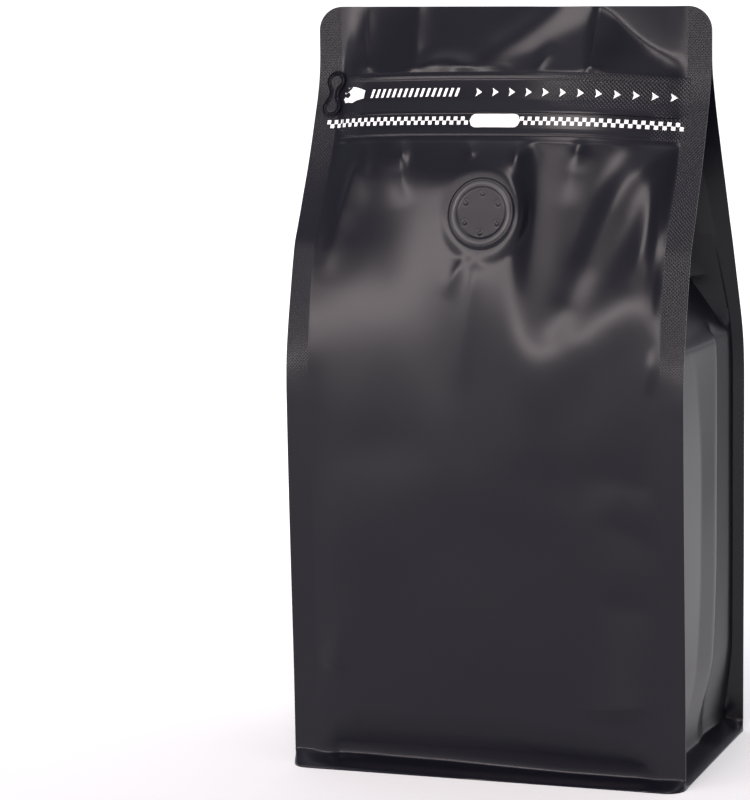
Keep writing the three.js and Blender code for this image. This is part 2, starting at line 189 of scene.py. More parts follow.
# the front between foot and zipper: for each place across, its depth (y) at heights up the film
frontColumns = {
    -50: [(100, -43.6), (118, -43.4), (132, -42.8), (145, -41.7), (156, -40), (164, -38.2), (172, -35.6),
        (180, -32.4), (190, -28.4), (198, -25.2)],
    -40: [(100, -44), (120, -43.6), (135, -42.9), (147, -41.8), (158, -40.1), (166, -38.4), (174, -36.1),
        (182, -33.2), (190, -30.4), (198, -27.6)],
    -32: [(100, -44.2), (125, -43.3), (140, -42.5), (152, -41.2), (163, -39.2), (174, -36.4),
        (184, -33.5), (194, -30.9), (201, -29)],
    -23: [(100, -44.4), (120, -43.7), (135, -42.9), (150, -41.5), (164, -39.5), (178, -37), (188, -35),
        (195, -33.4), (201, -30.8)],
    -14: [(100, -44.8), (112, -44.5), (120, -44.1), (135, -43.1), (150, -42), (164, -40.5), (176, -38.6),
        (188, -36.4), (196, -34.6), (201, -32)],
    -6: [(100, -44.6), (125, -44), (145, -43.4), (156, -42.8), (166, -41.8), (174, -40), (188, -37.1),
        (198, -35.1), (202.5, -32.2)],
    0: [(100, -44.7), (125, -44.3), (145, -43.9), (158, -43.4), (167, -42.5), (174, -40.8), (188, -37.8),
        (198, -35.7), (202.5, -32.8)],
    6: [(100, -44.8), (130, -44.5), (150, -44.1), (160, -43.4), (168, -42.4), (176, -41.2), (188, -38.8),
        (198, -36.2), (203, -32.8)],
    10.5: [(100, -44.9), (130, -44.7), (148, -44.4), (156, -43.7), (164, -42.6), (172, -41.4),
        (180, -40.1), (188, -38.7), (197, -35.9), (203, -32.6)],
    15: [(100, -45), (120, -45.2), (133, -45.5), (140, -45.4), (144.5, -44.9), (149, -44), (157, -41.9),
        (166, -39.3), (176, -36.6), (187, -33.8), (199, -30.9)],
    20: [(100, -45), (118, -45.2), (131, -45.5), (138, -45.4), (142, -44.9), (146.5, -43.9), (156, -41.2),
        (166, -38.4), (177, -35.6), (188, -32.9), (199, -30.5)],
    25: [(100, -44.9), (120, -45), (134, -45.3), (141, -45.1), (145, -44.5), (149, -43.5), (158, -40.9),
        (168, -38), (178, -35.2), (188, -32.5), (199, -29.8)],
    32: [(100, -44.5), (130, -44.5), (141, -44.7), (147, -44.3), (151, -43.2), (157, -41.2), (166, -38),
        (174, -35.2), (183, -32.3), (193, -29.6), (201, -27.7)],
    40: [(100, -44.2), (135, -43.9), (149.5, -43.6), (154, -43), (158, -41.9), (163.5, -39.9),
        (172, -36.6), (181, -33.2), (190, -29.8), (199, -26.5)],
    48: [(100, -43.9), (140, -43.5), (155.5, -43.1), (160, -42.4), (164, -41.1), (170, -38.6), (178, -35),
        (187, -30.9), (197, -26.3)],
    54: [(100, -43.6), (145, -43), (157, -42.3), (162, -41.4), (167, -40), (174, -37), (182, -33),
        (190, -28.9), (199, -24)],
    57: [(100, -43.4), (140, -42.8), (152, -42), (158, -41), (165, -39.2), (173, -36), (181, -32),
        (190, -27.2), (199, -22)],
}
# folds and dents of the film, as foldRelief and dentsRelief read them
frontFolds = {
    "slant": (1.9, [[23, 145, 0, 5, 5], [29, 158, 1.2, 5, 5], [34.5, 171, 2.0, 5.4, 5.4],
        [40.5, 186, 1.9, 5.6, 5.4], [47, 198, 1.5, 5, 4.6], [57, 206, 0.8, 3.6, 3.6]]),
    "rightOfValve": (1.3, [[9.5, 207.3, 0.5, 2.2, 1.6], [9.8, 202, 1.0, 2.4, 1.6], [11, 195, 0, 2.4, 2]]),
    "underBandRight": (1.4, [[29.5, 207.4, 0.6, 2.4, 1.4], [28.5, 203, 1.3, 4, 1.8],
        [27.5, 197, 0.7, 5, 2.4], [26, 186, 0, 6, 3]]),
    "underValveLeft": (1.4, [[-4, 174, 0.3, 1.6, 1.6], [-8, 168, 0.6, 2.2, 1.8], [-13, 158, 0, 3, 3]]),
    "underValveRight": (1.5, [[-1.5, 174, 0.3, 1.6, 1.4], [-2, 167, 0.6, 2.6, 1.8],
        [-5, 150, 0.6, 5, 2.8], [-8, 126, 0, 6, 4]]),
    "leftUpright": (1.5, [[-46.6, 203, 0, 4, 1.6], [-48.5, 197, 1.6, 5, 1.8], [-51, 187, 1.6, 5, 1.8],
        [-53, 177, 0.9, 5, 2.2], [-55, 164, 0, 4, 2.6]]),
    "underBandLeft": (1.3, [[-31, 207.5, 0.6, 1.4, 3], [-30.5, 203, 1.8, 1.6, 5],
        [-29.5, 197, 0.9, 2.2, 6], [-27, 186, 0, 3, 6]]),
    "underBandFarLeft": (1.6, [[-46.5, 207.4, 0.5, 3, 3], [-45, 203, 1.1, 3, 4], [-44, 196, 0.5, 3, 4.4],
        [-43, 184, 0, 3, 4.4]]),
    "besideFin": (1.5, [[49, 163, 0, 4, 3], [52.5, 176, 0.8, 4, 2.6], [53.5, 188, 1.0, 4, 2.6],
        [52, 201, 0, 4, 3]]),
    "underBandMid": (1.2, [[-8, 207.5, 0.3, 1.6, 1.6], [-6, 204, 1.2, 1.6, 2], [-6.5, 200, 0, 1.6, 2]]),
    "flapSlant": (2, [[-12, 228.6, 1.0, 4, 6], [-1, 237.6, 2.1, 5, 7.4], [9, 245.6, 2.4, 5.6, 7.8],
        [19, 254, 2.4, 6, 8]]),
    "flapSwoosh": (1.6, [[34, 253, 0.4, 5, 3], [41, 243.5, 0.6, 5, 3], [48, 237.6, 0.6, 5, 3],
        [59, 234.4, 0.3, 4, 3]]),
    "flapCrease": (1.2, [[30.2, 253, 1.2, 6, 1.6], [30.2, 240, 2.6, 7, 1.6], [30.2, 229.5, 2.0, 5, 1.6]]),
    "flapLeft": (1.4, [[-50, 253, 0.6, 2.4, 3], [-49.5, 242, 1.0, 3, 3], [-48.5, 231, 0.9, 3.4, 3]]),
    "flapMidLeft": (1.4, [[-32, 253, 0.5, 2.4, 4], [-31, 240, 1.2, 3, 4], [-30, 230, 0.9, 3, 4]]),
    "flapArch": (1.7, [[-29, 229.4, 0.5, 2.4, 4], [-22.5, 232.6, 1.5, 2.6, 4.4],
        [-15, 232.4, 1.4, 2.6, 4.4], [-8, 229.2, 0.4, 2.2, 4]]),
    "flapNick": (1.3, [[13, 229.5, 0.6, 1.8, 1.8], [15.5, 234, 1.0, 2, 2], [19, 238.5, 0, 2, 2]]),
    "finCrease": (1.5, [[58, 200, 0, 1.4, 1.2], [57.8, 186, 0.7, 1.6, 1.2], [57.4, 168, 0.7, 1.6, 1.2],
        [57, 150, 0, 1.6, 1.2]]),
    "finLeaf": (1.6, [[57.2, 146, 0, 1.4, 1], [56.8, 138, 1.4, 1.8, 1.2], [56.2, 128, 0, 1.4, 1.2]]),
    "dentLeft": (1.3, [[-60, 36.6, 0, 8, 2], [-54, 34.8, 1.0, 10, 2.2], [-46, 33, 0, 8, 1.6]]),
    "dentRight": (1.3, [[29, 25, 0, 10, 1.6], [45, 25.6, 1.4, 13, 2.8], [58, 27.8, 0, 10, 2]]),
    "edgeHigh": (1.3, [[30, 104, 0, 8, 8], [46, 101, -0.9, 14, 9], [59, 99, -1.1, 16, 9]]),
    "edgeMid": (1.3, [[35, 88, 0, 5, 8], [48, 84.5, -1.1, 8, 16], [59, 79.5, -1.3, 9, 16]]),
    "edgeLow": (1.3, [[35, 62, 0, 5, 8], [49, 59.5, -0.8, 7, 13], [59, 59, -0.8, 7, 13]]),
}
frontDents = {
    "lowHollowLeft": (-34, 108, 24, 11, -0.45),
    "lowHollowRight": (30, 100, 18, 9, -0.4),
    "lowSwellLeft": (-40, 78, 20, 14, 0.35),
    "lowSwellMid": (4, 52, 26, 16, 0.4),
    "lowSwellFarLeft": (-52, 44, 14, 28, 0.7),
}
backFolds = {
    "backUpright": (1.8, [[-22, 204, 0.2, 4, 5], [-14, 180, 1.6, 5, 6], [-2, 148, 1.4, 6, 6],
        [6, 120, 0, 7, 6]]),
    "backSlantLeft": (1.8, [[-56, 176, 0.6, 5, 4], [-36, 152, 1.9, 5, 5], [-12, 136, 0.8, 6, 5],
        [4, 130, 0, 6, 5]]),
    "backSlantRight": (1.8, [[12, 205, 0.2, 4, 4], [26, 178, 1.8, 5, 5], [44, 156, 1.5, 5, 5],
        [57, 146, 0.4, 5, 5]]),
    "backCreaseTop": (1.5, [[-28, 250, 0.4, 3, 4], [-8, 241, 1.0, 3, 4], [12, 233, 0.2, 3, 4]]),
    "backDentLow": (1.3, [[30, 30, 0, 1.2, 3], [44, 28, -0.8, 1.2, 3.2], [58, 31, 0, 1.2, 2]]),
}
backDents = {
    "backHollow": (-26, 168, 12, 12, -2.0),
    "backHollowRight": (14, 160, 9, 15, -1.8),
}
# the valve's place, where the front film lies flat under it
valve = {
    "x": -0.6, "z": 185.1, "radius": 11.5, "tilt": math.radians(13), "turn": math.radians(-6),
    "seatFrom": 0.8, "seatFade": 4.5, "forward": 0.3,
}


def frontLine(z):
    return curveThrough(frontEdge, z)


def backLine(z):
    return curveThrough(backEdge, z)


def finCurl(z):
    # how far the front fin's outer edge stands behind its root
    return bag["curl"] * smooth(*bag["curlFrom"], z) * (1 - smooth(*bag["curlTo"], z))


def acrossFin(x):
    # 0 at the fin's root and 1 at its edge
    return np.clip((np.abs(x) - bag["finLine"]) / (bag["halfWidth"] - bag["finLine"]), 0, 1)


def finFilm(x, z):
    return frontLine(z) - finCurl(z) * (1 - acrossFin(x))


def insideFins(x):
    # falls to the fin line with a crisp edge there
    over = np.clip((np.abs(x) - bag["flatTo"]) / (bag["finLine"] - bag["flatTo"]), 0, 1)
    return 1 - over ** 2


def panelCrown(x, z):
    across = np.sqrt(np.clip(1 - (x / bag["finLine"]) ** 2, 0, 1))
    return bag["crown"] * across * smooth(*bag["crownFrom"], z) * (1 - smooth(*bag["crownTo"], z))


def footTuck(x, z):
    # how far the film lies back above the foot's seal; a smooth step is 1.5 times as steep as a line
    low = lineThrough(sealHeight, x) + bag["tuckAbove"]
    top = np.maximum(lineThrough(tuckTop, x), low + bag["tuckLeast"])
    deep = bag["tuckSlope"] * (top - low) / 1.5 * (1 - smooth(bag["tuckTo"], bag["finLine"], np.abs(x)))
    return deep * (1 - smooth(low, top, z))


def archAt(x, z):
    # the bowed middle of the zipper stands a little higher than its ends
    share = smooth(bag["archFrom"], bag["bandLow"], z) * (1 - smooth(bag["bandHigh"], bag["height"], z))
    return bag["arch"] * curveThrough(bandBow, x) * share


def frontColumn(place, z):
    low = frontLine(z) - panelCrown(np.array([place], float), z)
    top = float(frontLine(np.array([bag["bandLow"]]))[0] - curveThrough(bandBow, np.array([float(place)]))[0])
    heights = [*frontColumns[place], (bag["bandLow"], top)]
    high = curveThrough(heights, np.clip(z, bag["columnsFrom"], bag["bandLow"]))
    return mix(low, high, smooth(*bag["columnsEase"], z))


def columnBase(x, z):
    levels, rowOf = np.unique(z, return_inverse=True)
    rowOf = rowOf.reshape(z.shape)
    half, line = bag["halfWidth"], bag["finLine"]
    places = np.array([-half, -line, *frontColumns, line, half])
    edge = finFilm(np.array([line]), levels)
    table = np.stack([edge, edge, *[frontColumn(c, levels) for c in frontColumns], edge, edge])
    slopes = np.gradient(table, places, axis=0)
    i = np.clip(np.searchsorted(places, x) - 1, 0, len(places) - 2)
    long = places[i + 1] - places[i]
    t = np.clip((x - places[i]) / long, 0, 1)
    low, high = (i, rowOf), (i + 1, rowOf)
    return curveBetween(table[low], table[high], slopes[low], slopes[high], long, t)


# the columns worked out once on a grid and softened, so that no column shows as a line
grid = {
    "step": 1.0, "across": (-68, 68.1), "up": (-1, 254.1), "soft": 2.6, "reach": 8,
    "keepAcross": (58.5, 50.5), "keepUp": (208.0, 199.0),
}
gridX = np.arange(*grid["across"], grid["step"])
gridZ = np.arange(*grid["up"], grid["step"])


def softGrid():
    x, z = np.meshgrid(gridX, gridZ)
    raw = columnBase(x, z)
    reach = np.arange(-grid["reach"], grid["reach"] + 1)
    weights = np.exp(-(reach * grid["step"] / grid["soft"]) ** 2 / 2)
    weights /= weights.sum()
    soft = np.pad(raw, grid["reach"], mode="edge")
    soft = sum(w * soft[i:i + raw.shape[0], :] for i, w in enumerate(weights))
    soft = sum(w * soft[:, i:i + raw.shape[1]] for i, w in enumerate(weights))
    return mix(raw, soft, smooth(*grid["keepAcross"], np.abs(x)) * smooth(*grid["keepUp"], z))


def cubic(t):
    # weights of four neighbours for a smooth curve through the middle two
    return np.stack([
        -t + 2 * t ** 2 - t ** 3, 2 - 5 * t ** 2 + 3 * t ** 3,
        t + 4 * t ** 2 - 3 * t ** 3, t ** 3 - t ** 2,
    ]) / 2


baseGrid = softGrid()


def gridAt(x, z):
    u, v = (x - gridX[0]) / grid["step"], (z - gridZ[0]) / grid["step"]
    i, j = np.clip(u.astype(int), 1, len(gridX) - 3), np.clip(v.astype(int), 1, len(gridZ) - 3)
    across, up = cubic(u - i), cubic(v - j)
    return sum(across[a] * up[b] * baseGrid[j + b - 1, i + a - 1] for a in range(4) for b in range(4))


def frontFree(x, z):
    bow, leant = curveThrough(bandBow, x), curveThrough(flapTop, x)
    fin = finFilm(x, z)
    under = gridAt(x, z) + footTuck(x, z)
    up = (z - bag["bandHigh"]) / (leant - bag["bandHigh"])
    soft = bag["flapSoft"]
    over = fin - softRamp(bow * (1 - np.maximum(up, 0)), soft) + soft * math.log(2)
    standing = bag["upright"] * softRamp(z - leant, bag["uprightSoft"])
    over = over - standing * smooth(*bag["uprightFrom"], x) * insideFins(x)
    panel = np.where(z < bag["bandLow"], under, over)
    onBand = smooth(*bag["bandOn"], z) * (1 - smooth(*bag["bandOff"], z))
    pressed = foldsRelief(frontFolds, x, z) + dentsRelief(frontDents, x, z)
    panel = panel - pressed * (1 - onBand) * insideFins(x)
    return np.where(np.abs(x) > bag["finLine"], fin, panel)


valveNormal = np.array([
    math.sin(valve["turn"]) * math.cos(valve["tilt"]),
    -math.cos(valve["turn"]) * math.cos(valve["tilt"]),
    math.sin(valve["tilt"]),
])
valveY = float(frontFree(np.array([valve["x"]]), np.array([valve["z"]]))[0]) - valve["forward"]


def frontFilm(x, z):
    free = frontFree(x, z)
    away = np.hypot(x - valve["x"], z - valve["z"])
    seat = valveY - ((x - valve["x"]) * valveNormal[0] + (z - valve["z"]) * valveNormal[2]) / valveNormal[1]
    fade = smooth(valve["radius"] + valve["seatFrom"], valve["radius"] + valve["seatFade"], away)
    return mix(seat, free, fade)


def backSplay(z):
    # how far the back fin's edge stands behind its root
    return bag["splay"] * (1 - smooth(*bag["splayTo"], z)) * smooth(bag["rimHeight"], bag["splayFrom"], z)


def backFilm(x, z):
    pressed = foldsRelief(backFolds, x, z) + dentsRelief(backDents, x, z)
    free = backLine(z) - backSplay(z) * (1 - acrossFin(x)) + panelCrown(x, z) - footTuck(x, z)
    free = free + pressed * insideFins(x)
    front = frontFilm(x, z)
    closed = smooth(*bag["closing"], z)
    return np.maximum(mix(free, front + bag["seal"], closed), front + bag["leastSeal"])


gusset = {
    "half": 41.2, "base": 140.5, "tip": 0.52, "soft": 0.7, "flatAgain": (226, 238),
    "leastClosing": 0.02, "leastStrip": 3,
    # places between the fins, how far the open gusset stands out at all twelve, and mesh columns between them
    "frontStrip": (0.04, 0.12), "creaseHalf": 0.008, "ridgeFront": 0.02, "ridgeBack": 0.015,
    "valleyHalf": 0.006, "backStrip": 0.955,
    "outs": [0, 0.8, 1.0, 2.5, 2.55, 4.3, 4.4, 4.3, 1.9, 1.9, 4.4, 4.1],
    "columns": [3, 4, 12, 1, 7, 1, 1, 4, 1, 6, 2],
    # above the folds: how far the plain gusset stands out, by place across, and up to what height
    "plainOut": [(0, 0), (0.12, 1.2), (1, 4.1)], "plainTo": 205, "foldsEnd": (-1, 2), "foldsSlant": 6,
    "footTo": 34, "footSpread": 0.45, "footHollow": 1.6,
}
# where the gusset's crease, ridge and valley lie between the front fin and the back fin, by height
gussetCrease = [
    (0, 0.33), (8, 0.35), (20, 0.4), (32, 0.45), (50, 0.508), (75, 0.535), (105, 0.537), (117.5, 0.507),
    (129, 0.471), (136.6, 0.416), (142, 0.35), (252, 0.35),
]
gussetRidge = [(0, 0.56), (12, 0.57), (31, 0.649), (58, 0.71), (90, 0.722), (252, 0.722)]
gussetValley = [(0, 0.7), (12, 0.71), (31, 0.74), (58, 0.785), (90, 0.79), (252, 0.79)]


def gussetShares(rows):
    # places between the fins that follow the folds, and how far the open gusset stands out there
    crease, ridge, valley = (curveThrough(line, rows) for line in (gussetCrease, gussetRidge, gussetValley))
    same = np.ones(rows.shape)
    start, strip = gusset["frontStrip"]
    shares = np.stack([
        0 * same, start * same, strip * same,
        crease - gusset["creaseHalf"], crease + gusset["creaseHalf"],
        ridge - gusset["ridgeFront"], ridge, ridge + gusset["ridgeBack"],
        valley - gusset["valleyHalf"], valley + gusset["valleyHalf"],
        gusset["backStrip"] * same, same,
    ], 1)
    outs = np.array(gusset["outs"])
    counts = gusset["columns"]
    steps = np.concatenate([i + np.arange(n) / n for i, n in enumerate(counts)] + [[len(counts)]])
    low = np.minimum(steps.astype(int), len(counts) - 1)
    part = steps - low
    return mix(shares[:, low], shares[:, low + 1], part), mix(outs[low], outs[low + 1], part)


def gussetCurve(share, spread, z, near, far):
    # places x, y round the gusset at one height: a flat middle tipped inwards and a slanted strip to each fin
    half = (far - near) / 2
    middle = (far + near) / 2
    closing = np.maximum(gusset["half"] - half, gusset["leastClosing"])
    depth = gusset["tip"] * softRamp(z - gusset["base"], gusset["soft"])
    strip = np.clip((depth ** 2 - closing ** 2) / (2 * closing), gusset["leastStrip"], half)
    flat = half - strip
    depth = np.where(flat <= 0, np.sqrt(np.maximum(gusset["half"] ** 2 - half ** 2, 0)), depth)
    depth = depth * (1 - smooth(*gusset["flatAgain"], z))
    run = 2 * share - 1
    over = np.clip((np.abs(run) * half - flat) / strip, 0, 1)
    # the folds of the open part end at its top, above which the gusset is smooth
    plain = lineThrough(gusset["plainOut"], share) * (1 - smooth(gusset["base"], gusset["plainTo"], z))
    foot = smooth(bag["rimHeight"], gusset["footTo"], z)
    out = spread * mix(gusset["footSpread"], 1, foot) - gusset["footHollow"] * (1 - foot) * (1 - run ** 2)
    start, end = (gusset["base"] + v for v in gusset["foldsEnd"])
    out = mix(out, plain, smooth(start, end + gusset["foldsSlant"] * share ** 2, z))
    return bag["finLine"] + out - depth * (1 - over), middle + half * run


# the film's mesh: rows by first, end and step of height, columns across, and steps across the fins
filmMesh = {
    "footRows": [0, 0.2, 0.4, 0.7, 1.1, 1.5],
    "rows": [(1.8, 5.6, 0.15), (5.6, 8, 0.4), (8, 23, 1.5), (23, 38, 0.4), (38, 110, 2),
             (110, 206, 1.0), (206, 210, 0.5), (210, 244.1, 0.85)],
    "topRows": 12, "frontColumns": 135, "backColumns": 76,
    "finSteps": [8, 7.6, 6.5, 5, 3.5, 2, 1, 0.4], "finBackSteps": [8, 6, 4, 2, 0.6],
}


def makeFilm():
    half, line, corner, radius = (bag[k] for k in ("halfWidth", "finLine", "rimRadius", "topRadius"))
    turns = np.linspace(0, np.pi / 2, filmMesh["topRows"] + 1)[1:]
    rows = np.concatenate([
        filmMesh["footRows"], *[np.arange(*run) for run in filmMesh["rows"]],
        bag["height"] - radius + radius * np.sin(turns),
    ])
    finWide = half - line
    finSteps = np.array(filmMesh["finSteps"])
    inner = np.linspace(-line, line, filmMesh["frontColumns"])
    frontX = np.concatenate([-line - finSteps, inner, line + finSteps[::-1]])
    inner = np.linspace(line, -line, filmMesh["backColumns"])
    backX = np.concatenate([line + finSteps, inner, -line - finSteps[::-1]])
    rise = np.clip(rows - (bag["height"] - radius), 0, None)
    tips = half - radius + np.maximum(np.sqrt(np.maximum(radius ** 2 - rise ** 2, 0)), bag["leastTip"])
    finShare = (tips - line) / finWide

    def place(columns):
        over = np.clip(np.abs(columns) - line, 0, None)
        flat = np.clip(columns, -line, line)
        return flat[None, :] + np.sign(columns)[None, :] * over[None, :] * finShare[:, None]

    z = rows[:, None]
    fx, bx = place(frontX), place(backX)
    fz, bz = np.broadcast_to(z, fx.shape), np.broadcast_to(z, bx.shape)
    fy, by = frontFilm(fx, fz), backFilm(bx, bz)
    shares, spreads = gussetShares(rows)
    finBack = np.array(filmMesh["finBackSteps"])
    sides = {}
    for sign in (1, -1):
        near = fy[:, [-1 if sign > 0 else 0]] + bag["film"]
        edge = by[:, [0 if sign > 0 else -1]] - bag["film"]
        edge = np.maximum(edge, near + bag["filmGap"])
        far = np.maximum(edge - backSplay(z), near + bag["filmGap"])
        out = line + finBack[None, :] * finShare[:, None]
        root = near - finCurl(z)
        gx, gy = gussetCurve(shares, spreads[None, :], z, root, far)
        tail = gx[:, -1:] + (out[:, :1] - gx[:, -1:]) * finBack[::-1][None, :] / finWide
        sx = np.concatenate([out, gx, tail], 1)
        head = mix(root, near, finBack[None, :] / finWide)
        sy = np.concatenate([head, gy, mix(far, edge, acrossFin(tail))], 1)
        if sign < 0:
            sx, sy = -sx[:, ::-1], sy[:, ::-1]
        sides[sign] = (sx, sy)
    archFront = archAt(fx, fz)
    archBack = archAt(bx, bz) * smooth(*bag["backArch"], bz)
    x = np.concatenate([fx, sides[1][0], bx, sides[-1][0]], 1)
    y = np.concatenate([fy, sides[1][1], by, sides[-1][1]], 1)
    # the foot: every loop point runs out to a rounded rectangle
    depth = bag["rimDepth"]
    counts = [fx.shape[1], sides[1][0].shape[1], bx.shape[1], sides[-1][0].shape[1]]
    frontSeal = lineThrough(sealHeight, frontX)
    backSeal = bag["rimHeight"]
    sealAt = np.concatenate([
        frontSeal, np.linspace(frontSeal[-1], backSeal, counts[1]),
        np.full(counts[2], backSeal), np.linspace(backSeal, frontSeal[0], counts[3]),
    ])
    rim = lineThrough(rimOut, rows[:, None] * bag["rimHeight"] / sealAt[None, :])

    def corners(columns):
        past = np.clip(np.abs(columns) - (half - corner), 0, corner)
        return depth - corner + np.sqrt(corner ** 2 - past ** 2)

    sideRun = np.linspace(-1, 1, counts[1]) * (depth - corner)
    rimX = np.concatenate([frontX, np.full(counts[1], half), backX, np.full(counts[3], -half)])
    rimY = np.concatenate([-corners(frontX), sideRun, corners(backX), -sideRun])
    x = mix(x, rimX[None, :], rim)
    y = mix(y, rimY[None, :], rim)
    flatSides = np.zeros(sides[1][0].shape)
    points = np.stack([x, y, z + np.concatenate([archFront, flatSides, archBack, flatSides], 1)], 2)
    n, loop = points.shape[:2]
    verts = points.reshape(-1, 3)
    a = (np.arange(n - 1)[:, None] * loop + np.arange(loop)[None, :])
    b = (np.arange(n - 1)[:, None] * loop + (np.arange(loop)[None, :] + 1) % loop)
    faces = np.stack([a, b, b + loop, a + loop], 2).reshape(-1, 4).tolist()
    # bottom
    base = len(verts)
    verts = np.concatenate([verts, [[0, 0, 0]]])
    faces += [[base, (i + 1) % loop, i] for i in range(loop)]
    # top edge: the two films with a hollow line between
    top = (n - 1) * loop
    columns = counts[0]
    back0 = counts[0] + counts[1]
    backAt = bx[-1][::-1]
    middle = []
    for i in range(columns):
        backY = np.interp(fx[-1, i], backAt, by[-1][::-1])
        middle.append([fx[-1, i], (fy[-1, i] + backY) / 2, bag["height"] - bag["topGroove"]])
    m0 = len(verts)
    verts = np.concatenate([verts, middle])
    for i in range(columns - 1):
        faces.append([top + i, top + i + 1, m0 + i + 1, m0 + i])
    backColumns = counts[2]
    j = 0
    for i in range(columns):
        while j < backColumns - 1 and backAt[j + 1] <= fx[-1, i] + 1e-6:
            faces.append([m0 + i, top + back0 + backColumns - 2 - j, top + back0 + backColumns - 1 - j])
            j += 1
        if i < columns - 1:
            faces.append([m0 + i, m0 + i + 1, top + back0 + backColumns - 1 - j])
    rightLoop = [top + i for i in range(columns - 1, back0 + 1)] + [m0 + columns - 1]
    leftLoop = [top + i for i in range(back0 + backColumns - 1, loop)] + [top, m0]
    faces += [rightLoop, leftLoop]
    # where the fins' seal is pressed
    seal = np.zeros(len(verts))
    sealX = np.concatenate([np.abs(frontX), np.zeros(counts[1]), np.abs(backX), np.zeros(counts[3])])
    inward, outward = bag["pressEdge"]
    onFin = smooth(line + inward, line + outward, sealX)
    upFin = mix(bag["pressLow"], 1, smooth(*bag["pressFrom"], rows))
    seal[: n * loop] = (onFin[None, :] * upFin[:, None]).reshape(-1)
    return verts, faces, seal


def discFaces(rings, count, flipped):
    # a fan round the middle, which is the last point, and quads between the rings
    nexts = [(i + 1) % count for i in range(count)]
    faces = [[j, i, rings * count] if flipped else [i, j, rings * count] for i, j in enumerate(nexts)]
    for start in range(0, (rings - 1) * count, count):
        for i, j in enumerate(nexts):
            a, b = start + i, start + j
            faces.append([b, b + count, a + count, a] if flipped else [a + count, b + count, b, a])
    return faces


def makeObject(name, verts, faces, material, sharp, layers=None):
    mesh = bpy.data.meshes.new(name)
    mesh.from_pydata((np.asarray(verts) * mm).tolist(), [], faces)
    mesh.validate()
    mesh.update()
    mesh.polygons.foreach_set("use_smooth", [True] * len(mesh.polygons))
    mesh.set_sharp_from_angle(angle=math.radians(sharp))
    for key, values in (layers or {}).items():
        layer = mesh.attributes.new(key, "FLOAT", "POINT")
        layer.data.foreach_set("value", np.asarray(values, np.float32))
    mesh.materials.append(material)
    piece = bpy.data.objects.new(name, mesh)
    scene.collection.objects.link(piece)
    return piece


# materials

def newGroup(name, inputs, outputs):
    tree = bpy.data.node_groups.new(name, "ShaderNodeTree")
    for label, kind, value in inputs:
        socket = tree.interface.new_socket(label, in_out="INPUT", socket_type=kind)
        if value is not None:
            socket.default_value = value
    for label, kind in outputs:
        tree.interface.new_socket(label, in_out="OUTPUT", socket_type=kind)
    return tree, tree.nodes.new("NodeGroupInput"), tree.nodes.new("NodeGroupOutput")


def calc(tree, operation, *values):
    node = tree.nodes.new("ShaderNodeMath")
    node.operation = operation
    for i, value in enumerate(values):
        if isinstance(value, bpy.types.NodeSocket):
            tree.links.new(value, node.inputs[i])
        else:
            node.inputs[i].default_value = value
    return node.outputs[0]


def makeEmboss():
    # fine diamond press of a heat seal, from a place in metres
    inputs = [("Place", "NodeSocketVector", None), ("Pitch", "NodeSocketFloat", 0.0008)]
    tree, start, end = newGroup("sealEmboss", inputs, [("Height", "NodeSocketFloat")])
    split = tree.nodes.new("ShaderNodeSeparateXYZ")
    tree.links.new(start.outputs["Place"], split.inputs[0])
    turn = calc(tree, "DIVIDE", math.pi, start.outputs["Pitch"])
    one = calc(tree, "MULTIPLY", calc(tree, "ADD", split.outputs["X"], split.outputs["Z"]), turn)
    two = calc(tree, "MULTIPLY", calc(tree, "SUBTRACT", split.outputs["X"], split.outputs["Z"]), turn)
    height = calc(tree, "MULTIPLY", calc(tree, "SINE", one), calc(tree, "SINE", two))
    tree.links.new(calc(tree, "ABSOLUTE", height), end.inputs["Height"])
    return tree


grainNoise = {"Height": (900, 2), "Sheen": (28, 3)}  # scale and detail


def makeGrain():
    # soft unevenness of laminated film: a fine height and a slow change of sheen
    outputs = [(label, "NodeSocketFloat") for label in grainNoise]
    tree, start, end = newGroup("filmGrain", [("Place", "NodeSocketVector", None)], outputs)
    for label, (scale, detail) in grainNoise.items():
        noise = tree.nodes.new("ShaderNodeTexNoise")
        noise.inputs["Scale"].default_value = scale
        noise.inputs["Detail"].default_value = detail
        tree.links.new(start.outputs["Place"], noise.inputs["Vector"])
        tree.links.new(noise.outputs[0], end.inputs[label])
    return tree


embossGroup, grainGroup = makeEmboss(), makeGrain()


def newMaterial(name, look):
    material = bpy.data.materials.new(name)
    material.use_nodes = True
    tree = material.node_tree
    shader = tree.nodes["Principled BSDF"]
    shader.inputs["Base Color"].default_value = (*look["colour"], 1)
    shader.inputs["Roughness"].default_value = look["roughness"]
    shader.inputs["IOR"].default_value = look.get("ior", 1.5)
    return material, tree, shader


def addGroup(tree, group, place):
    node = tree.nodes.new("ShaderNodeGroup")
    node.node_tree = group
    tree.links.new(place, node.inputs["Place"])
    return node


def maskOf(tree, layer):
    node = tree.nodes.new("ShaderNodeAttribute")
    node.attribute_name = layer
    return node.outputs["Fac"]


